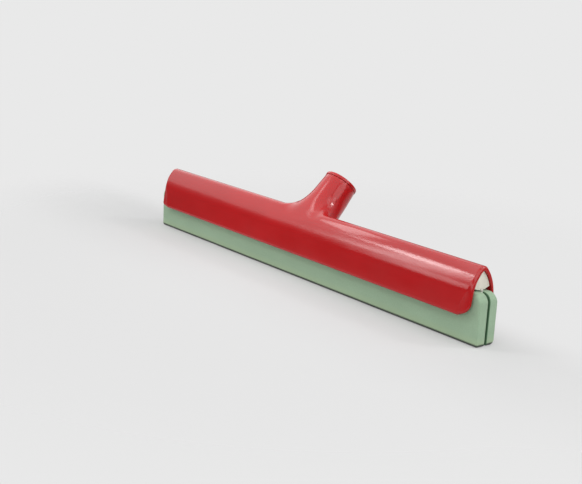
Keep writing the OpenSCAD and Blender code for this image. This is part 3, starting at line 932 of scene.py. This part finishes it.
# %% Ride and replace
finished = [
    (shell, "head", red_shell, "shell_plastic", ["shell", "neck"]),
    (insert, "head", red_insert, "insert_plastic", ["socket_insert"]),
    (carrier, "cassette", white_cassette, "cassette_plastic", ["carrier"]),
    (plugs[0], "cassette", white_plug, "plug_plastic", ["end_plug_left"]),
    (plugs[1], "cassette", white_plug, "plug_plastic", ["end_plug_right"]),
    (strip, "cassette", white_cassette, "cassette_plastic", ["wedge_strip"]),
    (front_blade, "cassette", green_foam, "foam_rubber", ["front_blade"]),
    (rear_blade, "cassette", green_foam, "foam_rubber", ["rear_blade"]),
]
for piece, body, material, slot_name, nodes in finished:
    piece.data.materials.clear()
    piece.data.materials.append(material)
    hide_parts(*nodes)
    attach(piece, body)
print(len(finished), "pieces ride on their bodies")

# %% [markdown]
# ## Floor, background, lights and camera
#
# The photo was taken on a white sweep. A pale floor that fades out into an even background gives the
# same look and keeps the object's shadow. The gloss shows where the studio's soft boxes stood:
# each one here has the place whose reflection falls where the photo has a streak. Three of them draw
# the broad streak on the arch, a small near one draws the streak and the spot on the neck, and wide
# ones overhead and to the left lay the pale tone on the crown and light the foam.

# %% Which rays see the background
BACKGROUND = "#E9E9E9"


def background_rays(tree, sharp_share=None):
    """1 for rays from the camera, off gloss and through glass; sharp_share weakens the last two."""
    ray = add(tree, "ShaderNodeLightPath")
    sharp = add(tree, "ShaderNodeMath", operation="MAXIMUM",
                links=[(ray.outputs["Is Glossy Ray"], 0), (ray.outputs["Is Transmission Ray"], 1)])
    if sharp_share:
        sharp = add(tree, "ShaderNodeMath", [(sharp, 0), (sharp_share, 1)], operation="MULTIPLY")
    return add(tree, "ShaderNodeMath", [(ray.outputs["Is Camera Ray"], 0), (sharp, 1)],
               operation="MAXIMUM").outputs[0]


print("the background's tone is", BACKGROUND)

# %% Floor
# In metres: half the floor's width, how far it lies under the blades, so that no two faces share a plane,
# and between which distances from the middle the paper fades out.
FLOOR_HALF, FLOOR_DROP, FADE_FROM, FADE_TO = 3.0, 0.0002, 0.30, 0.60
# The even tone's share of the paper: in front far away, in front near by, and what is added behind.
EVEN_FAR, EVEN_NEAR, EVEN_BEHIND = 0.72, 0.28, 0.6
floor_mesh = bpy.data.meshes.new("studio_floor")
corners = [(x * FLOOR_HALF, y * FLOOR_HALF, -FLOOR_DROP) for x, y in ((-1, -1), (1, -1), (1, 1), (-1, 1))]
floor_mesh.from_pydata(corners, [], [(0, 1, 2, 3)])
floor = bpy.data.objects.new("studio_floor", floor_mesh)
bpy.context.scene.collection.objects.link(floor)
paper, tree, shader, where = new_material("matt_paper_sweep")
shader.inputs["Base Color"].default_value = linear("#CCCCCC")
shader.inputs["Roughness"].default_value = 1.0
shader.inputs["Specular IOR Level"].default_value = 0.0
centre = add(tree, "ShaderNodeVectorMath", [(where, 0)], operation="LENGTH")
fade = add(tree, "ShaderNodeMapRange", [(centre.outputs["Value"], "Value")], interpolation_type="SMOOTHSTEP",
           inputs={"From Min": FADE_FROM, "From Max": FADE_TO, "To Min": 0.0, "To Max": 1.0})
# A share of the paper's tone is the even tone of the background, so the light's falloff hardly shows. It
# is small in front of the blades, where the photo has its shadow, and large behind them.
even = add(tree, "ShaderNodeEmission", inputs={"Color": linear(BACKGROUND), "Strength": 1.0})
depth = add(tree, "ShaderNodeSeparateXYZ", [(where, 0)])
shares = [add(tree, "ShaderNodeMapRange", [(depth.outputs["Y"], "Value")], interpolation_type="SMOOTHSTEP",
              inputs={"From Min": start, "From Max": end, "To Min": low, "To Max": high})
          for start, end, low, high in ((-0.15, -0.02, EVEN_FAR, EVEN_NEAR), (0.01, 0.08, 0.0, EVEN_BEHIND))]
even_share = add(tree, "ShaderNodeMath", [(shares[0], 0), (shares[1], 1)], operation="ADD")
share = add(tree, "ShaderNodeMath", [(background_rays(tree), 0), (even_share, 1)], operation="MULTIPLY")
paper_seen = add(tree, "ShaderNodeMixShader", [(share, 0), (shader, 1), (even, 2)])
gone = add(tree, "ShaderNodeBsdfTransparent")
blend = add(tree, "ShaderNodeMixShader", [(fade, 0), (paper_seen, 1), (gone, 2)])
tree.links.new(blend.outputs[0], tree.nodes["Material Output"].inputs["Surface"])
floor.data.materials.append(paper)
print("floor made")

# %% Background
# Gloss shows the even background too, but for the unlit studio that it sees low down past the paper.
world = bpy.context.scene.world or bpy.data.worlds.new("studio")
bpy.context.scene.world = world
world.use_nodes = True
sky = world.node_tree
sky.nodes.clear()
seen = add(sky, "ShaderNodeBackground", inputs={"Color": linear(BACKGROUND), "Strength": 1.0})
room = add(sky, "ShaderNodeBackground", inputs={"Color": (1.0, 1.0, 1.0, 1.0), "Strength": 0.2})
away = add(sky, "ShaderNodeSeparateXYZ", [(add(sky, "ShaderNodeTexCoord").outputs["Generated"], 0)])
high = add(sky, "ShaderNodeMapRange", [(away.outputs["Z"], "Value")], interpolation_type="SMOOTHSTEP",
           inputs={"From Min": 0.05, "From Max": 0.35, "To Min": 0.0, "To Max": 1.0})
pick = add(sky, "ShaderNodeMixShader",
           [(background_rays(sky, high), 0), (room, 1), (seen, 2)])
add(sky, "ShaderNodeOutputWorld", [(pick, "Surface")])
print("background made")


# %% Lights
TARGET, MIDDLE_Z = (0.0, 0.0, 0.04), 0.03


def soft_light(name, place, aim, width, height, watts):
    """A rectangular soft box at place that looks at aim, which the camera doesn't see. All in metres."""
    data = bpy.data.lights.new(name, "AREA")
    data.shape, data.size, data.size_y, data.energy = "RECTANGLE", width, height, watts
    lamp = bpy.data.objects.new(name, data)
    lamp.location = place
    lamp.visible_camera = False
    lamp.rotation_euler = (Vector(aim) - Vector(place)).to_track_quat("-Z", "Y").to_euler()
    bpy.context.scene.collection.objects.link(lamp)


def toward(azimuth, elevation, far):
    """Place in metres, far m from the middle of the object, azimuth from +X towards +Y."""
    a, e = radians(azimuth), radians(elevation)
    return (far * cos(e) * cos(a), far * cos(e) * sin(a), far * sin(e) + MIDDLE_Z)


soft_light("left_wall", toward(186, 37, 1.7), TARGET, 3.2, 1.4, 12.6)
soft_light("key_neck", (-0.060, -0.048, 0.189), (0.003, 0.020, 0.087), 0.055, 0.065, 0.048)
soft_light("key_upper", toward(-139, 36, 1.9), (0.15, 0, 0.06), 0.24, 0.24, 2.6)
soft_light("key_middle", toward(-134, 26, 1.9), (0.17, 0, 0.06), 0.24, 0.60, 2.6)
soft_light("key_lower", toward(-128, 11, 1.9), (0.2, 0, 0.06), 0.3, 0.34, 1.3)
soft_light("front_fill", toward(-80, 14, 1.8), TARGET, 1.4, 0.5, 5.0)
soft_light("overhead", toward(-85, 72, 1.6), TARGET, 2.4, 1.9, 13.5)
soft_light("right_box", toward(-8, 28, 1.6), TARGET, 1.8, 1.0, 10.0)
soft_light("back_box", toward(38, 50, 1.6), TARGET, 1.2, 1.1, 5.5)
soft_light("key_back", toward(43, 42, 1.5), (0.02, 0.02, 0.075), 0.2, 0.2, 2.6)
print(len(bpy.data.lights), "soft boxes")

# %% Camera
# Solved from the photo's edges: place in mm from the middle plane, direction, and focal length in the
# photo's pixels.
CAMERA_X, CAMERA_Y, CAMERA_Z = 819.4, -671.7, 296.9
AZIMUTH, ELEVATION, ROLL, FOCAL_PX, WIDTH_PX = radians(51.29), radians(13.97), radians(2.98), 1079.2, 582
right = Vector((cos(AZIMUTH), sin(AZIMUTH), 0))
back = Vector((sin(AZIMUTH) * cos(ELEVATION), -cos(AZIMUTH) * cos(ELEVATION), sin(ELEVATION)))
up = back.cross(right)
rolled_right = cos(ROLL) * right + sin(ROLL) * up
rolled_up = -sin(ROLL) * right + cos(ROLL) * up
camera_data = bpy.data.cameras.new("photo_camera")
camera_data.sensor_width = 36.0
camera_data.lens = FOCAL_PX / WIDTH_PX * camera_data.sensor_width
camera_data.clip_start, camera_data.clip_end = 0.01, 20.0
camera = bpy.data.objects.new("photo_camera", camera_data)
turn = Matrix((rolled_right, rolled_up, back)).transposed().to_4x4()
camera.matrix_world = Matrix.Translation((CAMERA_X * MM, (CAMERA_Y + MID_Y) * MM, CAMERA_Z * MM)) @ turn
bpy.context.scene.collection.objects.link(camera)
bpy.context.scene.camera = camera
bpy.context.scene.view_settings.view_transform = "Standard"
print(f"lens {camera_data.lens:.1f} mm")
